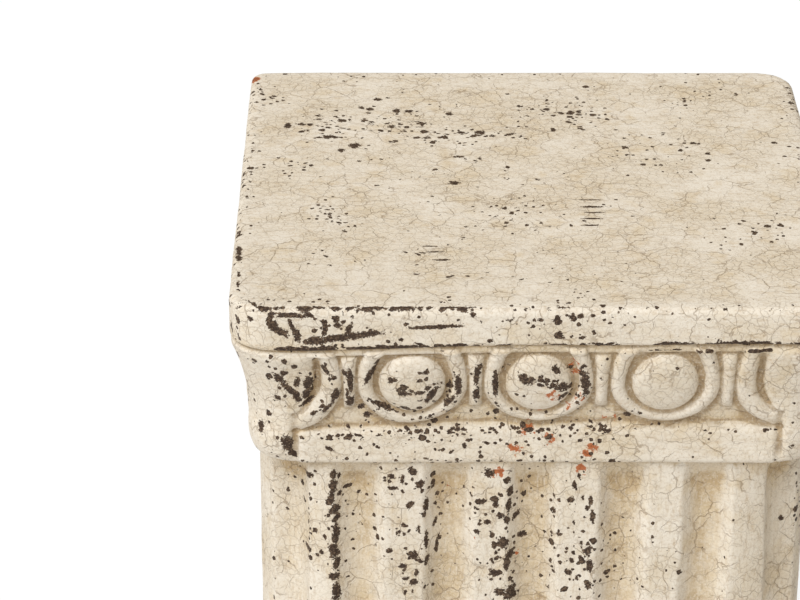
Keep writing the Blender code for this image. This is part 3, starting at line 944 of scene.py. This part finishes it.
brushing = {
    "size": 2.2,
    "changesAt": (0.664, 0.660),        # metres up, at the neck's foot
    "onCap": (0.25, 1.2, 1.2),
    "onShaft": (1.2, 1.2, 0.2),
}
crackling = {
    "coarse": 15,
    "finer": 5.5,
    "finerShift": 0.05,         # metres
    "bend": (5, 2.6, 3.0),      # size, amount, shift
}
bareSpots = {
    # Of each kind: cell, largest radius, share, shift
    "pits": ((4, 1.2, 1.0, 8.0), (8, 2.2, 0.8, 9.0), (16, 3.0, 0.5, 10.0)),
    "pitGrowth": 3.0,
    "pitBend": (2.2, 0.8, 8.0),
    "pitRoughness": 0.4,
    "flakesOnEdges": 0.42,
    "flakesAtPits": 0.14,
    "grittyShare": 0.45,
    "grainShare": 0.55,
    "chipRoughness": 3.1,
}
finish = {
    "specular": 0.3,
    "roughness": (0.55, 0.72),
    "fineBump": 0.35,
    "grainBump": 0.25,
    "crackBump": 0.24,
    "bumpHeight": 1.0,
    "bumpStrength": 1.0,
}


class NodeBench:
    # Short ways to put shader nodes in one material and join them up
    def __init__(self, material):
        material.use_nodes = True
        self.tree = material.node_tree
        self.shader = self.tree.nodes["Principled BSDF"]
        self.place = self.add("ShaderNodeTexCoord").outputs["Object"]

    def add(self, kind, **settings):
        made = self.tree.nodes.new(kind)
        for name, value in settings.items():
            setattr(made, name, value)
        return made

    def feed(self, socket, value):
        if isinstance(value, bpy.types.NodeSocket):
            self.tree.links.new(value, socket)
        elif isinstance(value, tuple) and len(value) == 3 and socket.type == "RGBA":
            socket.default_value = (*value, 1)
        else:
            socket.default_value = value

    def math(self, operation, a, b=0.0, clamp=False):
        made = self.add("ShaderNodeMath", operation=operation, use_clamp=clamp)
        self.feed(made.inputs[0], a)
        self.feed(made.inputs[1], b)
        return made.outputs[0]

    def times(self, a, b):
        return self.math("MULTIPLY", a, b)

    def plus(self, a, b, clamp=False):
        return self.math("ADD", a, b, clamp)

    def minus(self, a, b):
        return self.math("SUBTRACT", a, b)

    def higher(self, a, b):
        return self.math("MAXIMUM", a, b)

    def ramp(self, value, low, high, start=0.0, end=1.0):
        made = self.add("ShaderNodeMapRange", interpolation_type="SMOOTHSTEP")
        for name, given in (("Value", value), ("From Min", low), ("From Max", high),
                            ("To Min", start), ("To Max", end)):
            self.feed(made.inputs[name], given)
        return made.outputs["Result"]

    def mix(self, share, a, b):
        made = self.add("ShaderNodeMix", data_type="RGBA")
        self.feed(made.inputs["Factor"], share)
        self.feed(made.inputs["A"], a)
        self.feed(made.inputs["B"], b)
        return made.outputs["Result"]

    def noise(self, size, detail=2.0, rough=0.5, shift=0.0, place=None):
        # Noise from 0 to 1 with lumps of that size in millimetres
        made = self.add("ShaderNodeTexNoise")
        self.feed(made.inputs["Vector"], self.moved(shift, place))
        self.feed(made.inputs["Scale"], 1 / (size * mm))
        self.feed(made.inputs["Detail"], detail)
        self.feed(made.inputs["Roughness"], rough)
        return made

    def moved(self, shift, place=None):
        place = place or self.place
        if shift == 0.0:
            return place
        made = self.add("ShaderNodeVectorMath", operation="ADD")
        self.feed(made.inputs[0], place)
        made.inputs[1].default_value = (shift, shift * 0.7, shift * 1.3)
        return made.outputs[0]

    def stirred(self, size, amount, shift=0.0):
        # The place, pushed about by noise of that size and amount, both in millimetres
        colour = self.noise(size, 2.0, 0.5, shift).outputs["Color"]
        centred = self.add("ShaderNodeVectorMath", operation="SUBTRACT")
        self.feed(centred.inputs[0], colour)
        centred.inputs[1].default_value = (0.5, 0.5, 0.5)
        scaled = self.add("ShaderNodeVectorMath", operation="MULTIPLY_ADD")
        self.feed(scaled.inputs[0], centred.outputs[0])
        scaled.inputs[1].default_value = (amount * 2 * mm,) * 3
        self.feed(scaled.inputs[2], self.place)
        return scaled.outputs[0]

    def brushPlace(self):
        # The place squeezed so that noise runs across on the cap and down the shaft
        split = self.add("ShaderNodeSeparateXYZ")
        self.feed(split.inputs[0], self.place)
        onShaft = self.ramp(split.outputs["Z"], *brushing["changesAt"])
        squeeze = self.add("ShaderNodeMix", data_type="VECTOR")
        vectors = [socket for socket in squeeze.inputs
                   if socket.type == "VECTOR" and socket.name in "AB"]
        self.feed(squeeze.inputs[0], onShaft)
        vectors[0].default_value = brushing["onCap"]
        vectors[1].default_value = brushing["onShaft"]
        scaled = self.add("ShaderNodeVectorMath", operation="MULTIPLY")
        self.feed(scaled.inputs[0], self.place)
        self.feed(scaled.inputs[1], next(o for o in squeeze.outputs if o.type == "VECTOR"))
        return scaled.outputs[0]

    def cells(self, size, feature, place, shift=0.0):
        # Cells of that size in millimetres
        made = self.add("ShaderNodeTexVoronoi", feature=feature)
        self.feed(made.inputs["Vector"], self.moved(shift, place))
        self.feed(made.inputs["Scale"], 1 / (size * mm))
        return made


def roundPits(bench, place, size, largest, field, shift):
    # Round bare spots, one to a cell of that size, wherever the field is above the cell's own
    # random number, and wider the further it is above
    spots = bench.cells(size, "F1", place, shift)
    split = bench.add("ShaderNodeSeparateColor")
    bench.feed(split.inputs[0], spots.outputs["Color"])
    above = bench.minus(field, split.outputs[0])
    radius = bench.math("MULTIPLY", above, bareSpots["pitGrowth"], clamp=True)
    return bench.minus(bench.times(radius, largest / size), spots.outputs["Distance"])


def mixPaint(bench, field, grey):
    # Paint, paler where it is rubbed, and tan in the hollows, partly a real wash and partly
    # painted shade, with painted shade and painted light added by height
    share = paintShares
    fine, grain = grey["fine"], grey["grain"]
    colour = bench.mix(bench.ramp(grey["blotch"], 0.3, 0.7), paint["cream"], paint["paleCream"])
    yellowed = bench.ramp(grey["yellow"], 0.5, 0.72, 0, share["yellowed"])
    colour = bench.mix(yellowed, colour, paint["yellowed"])
    rubbed = bench.ramp(field["crest"], 0.15, 0.9, 0, share["rubbed"])
    colour = bench.mix(rubbed, colour, paint["paleCream"])
    # The hollows' tan is partly real wash and partly painted shade; the height field adds painted
    # shade under the slab and in the crease, and painted light under the neck
    washAndShade = bench.plus(bench.ramp(field["crest"], -0.05, -0.7), field["paintedShading"], clamp=True)
    washAndShade = bench.times(washAndShade, bench.ramp(fine, 0.25, 0.6, 0.45, 1.0))
    colour = bench.mix(bench.times(washAndShade, share["hollow"]), colour, paint["hollow"])
    deepest = bench.times(bench.ramp(washAndShade, 0.5, 0.95), share["deepest"])
    colour = bench.mix(deepest, colour, paint["tan"])
    colour = bench.mix(bench.ramp(fine, 0.46, 0.3, 0, share["fineTan"]), colour, paint["tan"])

    # Dirt and painted shade in the narrow creases
    broken = bench.ramp(fine, 0.3, 0.6, 0.5, 1.0)
    dirtAndShade = bench.times(bench.ramp(field["groove"], 0.2, 0.9), broken)
    colour = bench.mix(bench.times(dirtAndShade, share["dirtAndShade"]), colour, paint["dirtAndShade"])

    # Brush marks and grain, each with a darker and a paler side
    brushed = bench.noise(brushing["size"], 2.0, 0.6, 0.0, bench.brushPlace()).outputs["Fac"]
    for value, low, high, amount, name in (
            (brushed, 0.5, 0.25, share["brushedTan"], "tan"),
            (brushed, 0.55, 0.75, share["brushedPale"], "paleCream"),
            (grain, 0.5, 0.25, share["grainTan"], "tan"),
            (grain, 0.52, 0.75, share["grainPale"], "paleCream")):
        colour = bench.mix(bench.ramp(value, low, high, 0, amount), colour, paint[name])
    return colour


def crackleLines(bench, grey):
    # A coarse net and a finer one, each fading in and out
    bent = bench.stirred(*crackling["bend"])
    coarse = bench.cells(crackling["coarse"], "DISTANCE_TO_EDGE", bent)
    finer = bench.cells(crackling["finer"], "DISTANCE_TO_EDGE", bent, crackling["finerShift"])
    coarseLine = bench.times(bench.ramp(coarse.outputs["Distance"], 0.024, 0.006),
                             bench.ramp(grey["yellow"], 0.38, 0.6, 0.1, 1))
    finerLine = bench.times(bench.ramp(finer.outputs["Distance"], 0.045, 0.01),
                            bench.ramp(grey["blotch"], 0.66, 0.36, 0.15, 0.6))
    return bench.higher(coarseLine, finerLine)


def wornThrough(bench, field, grey, layers):
    # Pits of three sizes, ragged flakes, rubbed edges and the laid-out chips. Also gives how
    # deep inside a pit a place is.
    lumps, gritty = grey["lumps"], grey["gritty"]
    riddled = bench.plus(field["pits"], bench.ramp(lumps, 0.42, 0.72, 0.04, 0.3))
    pitPlace = bench.stirred(*bareSpots["pitBend"])
    pitDepth = None
    for size, largest, share, shift in bareSpots["pits"]:
        found = roundPits(bench, pitPlace, size, largest, bench.times(riddled, share), shift)
        pitDepth = bench.higher(pitDepth, found) if pitDepth else found
    rough = bench.times(bench.minus(gritty, 0.5), bareSpots["pitRoughness"])
    pitDepth = bench.plus(pitDepth, rough)
    pits = bench.ramp(pitDepth, 0.0, 0.035)

    rubbed = bench.times(bench.ramp(field["edge"], 0.1, 0.9), bench.ramp(lumps, 0.3, 0.6, 0.15, 1))
    flakes = bench.plus(bench.times(rubbed, bareSpots["flakesOnEdges"]),
                        bench.times(riddled, bareSpots["flakesAtPits"]))
    flakes = bench.ramp(bench.plus(flakes, grey["ragged"]), 0.83, 0.86)

    chipped = None
    for index in range(layers):
        spot = bench.add("ShaderNodeAttribute", attribute_name=f"chips{index}").outputs["Vector"]
        away = bench.add("ShaderNodeVectorMath", operation="LENGTH")
        bench.feed(away.inputs[0], spot)
        within = bench.minus(1.0, away.outputs["Value"])
        chipped = bench.higher(chipped, within) if chipped else within
    jagged = bench.plus(bench.times(gritty, bareSpots["grittyShare"]),
                        bench.times(grey["grain"], bareSpots["grainShare"]))
    jagged = bench.times(bench.minus(jagged, 0.5), bareSpots["chipRoughness"])
    chipped = bench.ramp(bench.plus(chipped, jagged), 0.0, 0.1)
    return bench.higher(bench.higher(pits, flakes), chipped), pitDepth


def paintedTerracotta(layers):
    material = bpy.data.materials.new("crackledPaint")
    bench = NodeBench(material)
    share = paintShares
    field = {name: bench.add("ShaderNodeAttribute", attribute_name=name).outputs["Fac"]
             for name in ("edge", "groove", "crest", "pits", "rust", "paintedShading")}
    grey = {name: bench.noise(*paintNoise[name]).outputs["Fac"] for name in paintNoise}
    fine, grain = grey["fine"], grey["grain"]
    colour = mixPaint(bench, field, grey)
    crack = crackleLines(bench, grey)
    colour = bench.mix(bench.times(crack, share["crack"]), colour, paint["crack"])

    # Rust that has come through from the clay
    rust = bench.plus(bench.times(field["rust"], 0.55), grey["ragged"])
    colour = bench.mix(bench.ramp(rust, 0.88, 0.96, 0, share["rust"]), colour, paint["rust"])
    colour = bench.mix(bench.ramp(rust, 1.02, 1.12, 0, share["rustRim"]), colour, paint["rustRim"])

    # The ground where the paint is off, dusty in places
    bare, pitDepth = wornThrough(bench, field, grey, layers)
    dusty = bench.higher(bench.ramp(grain, 0.46, 0.7), bench.ramp(pitDepth, 0.12, 0.2, 0, 0.5))
    colour = bench.mix(bare, colour, bench.mix(dusty, paint["ground"], paint["groundDust"]))

    bench.feed(bench.shader.inputs["Base Color"], colour)
    bench.shader.inputs["Specular IOR Level"].default_value = finish["specular"]
    roughness = bench.ramp(fine, 0.3, 0.7, *finish["roughness"])
    bench.feed(bench.shader.inputs["Roughness"], roughness)
    height = bench.plus(bench.times(fine, finish["fineBump"]),
                        bench.times(grain, finish["grainBump"]))
    height = bench.minus(height, bench.times(crack, finish["crackBump"]))
    bump = bench.add("ShaderNodeBump")
    bench.feed(bump.inputs["Height"], height)
    bump.inputs["Distance"].default_value = finish["bumpHeight"] * mm
    bump.inputs["Strength"].default_value = finish["bumpStrength"]
    bench.feed(bench.shader.inputs["Normal"], bump.outputs["Normal"])
    return material


pedestal.data.materials.clear()
pedestal.data.materials.append(paintedTerracotta(chipLayerCount))
print("paint mixed")

stageSetup = {
    "floorSize": 12,        # metres
    "floorColour": (0.84, 0.84, 0.84),
    "skyStrength": 0.41,
    "skyColour": (1.0, 0.90, 0.74),
    "sunColour": (0.978, 1.027, 1.106),
    "sunStrength": 3.4,
    "sunSpread": 50,
    "sunHeight": 50,
    "sunFromLeft": 41,
    "cameraPlace": (-0.0737, -1.7105, 1.5270),      # metres
    "cameraPitch": 26.235,
    "focalPixels": 3299.3,
    "imageWidth": 800,
    "sensorWidth": 36,
    "floorRoughness": 0.9,
}


def addFloor():
    selectNothing()
    bpy.ops.mesh.primitive_plane_add(size=stageSetup["floorSize"])
    floor = bpy.context.object
    floor.name = "floor"
    material = bpy.data.materials.new("paleFloor")
    material.use_nodes = True
    shader = material.node_tree.nodes["Principled BSDF"]
    shader.inputs["Base Color"].default_value = (*stageSetup["floorColour"], 1)
    shader.inputs["Roughness"].default_value = stageSetup["floorRoughness"]
    floor.data.materials.append(material)


def addLights():
    world = bpy.data.worlds.new("softSky")
    world.use_nodes = True
    sky = world.node_tree.nodes["Background"]
    sky.inputs["Color"].default_value = (*stageSetup["skyColour"], 1)
    sky.inputs["Strength"].default_value = stageSetup["skyStrength"]
    bpy.context.scene.world = world
    light = bpy.data.lights.new("softKey", "SUN")
    light.energy = stageSetup["sunStrength"]
    light.color = stageSetup["sunColour"]
    light.angle = math.radians(stageSetup["sunSpread"])
    key = bpy.data.objects.new("softKey", light)
    bpy.context.scene.collection.objects.link(key)
    key.rotation_euler = Euler((math.radians(90 - stageSetup["sunHeight"]), 0,
                                math.radians(-stageSetup["sunFromLeft"])))


def addCamera():
    lens = bpy.data.cameras.new("photoCamera")
    lens.sensor_width = stageSetup["sensorWidth"]
    lens.lens = stageSetup["focalPixels"] * stageSetup["sensorWidth"] / stageSetup["imageWidth"]
    camera = bpy.data.objects.new("photoCamera", lens)
    bpy.context.scene.collection.objects.link(camera)
    camera.location = stageSetup["cameraPlace"]
    camera.rotation_euler = Euler((math.radians(90 - stageSetup["cameraPitch"]), 0, 0))
    bpy.context.scene.camera = camera


addFloor()
addLights()
addCamera()
bpy.context.scene.view_settings.view_transform = "Standard"
print("stage set")
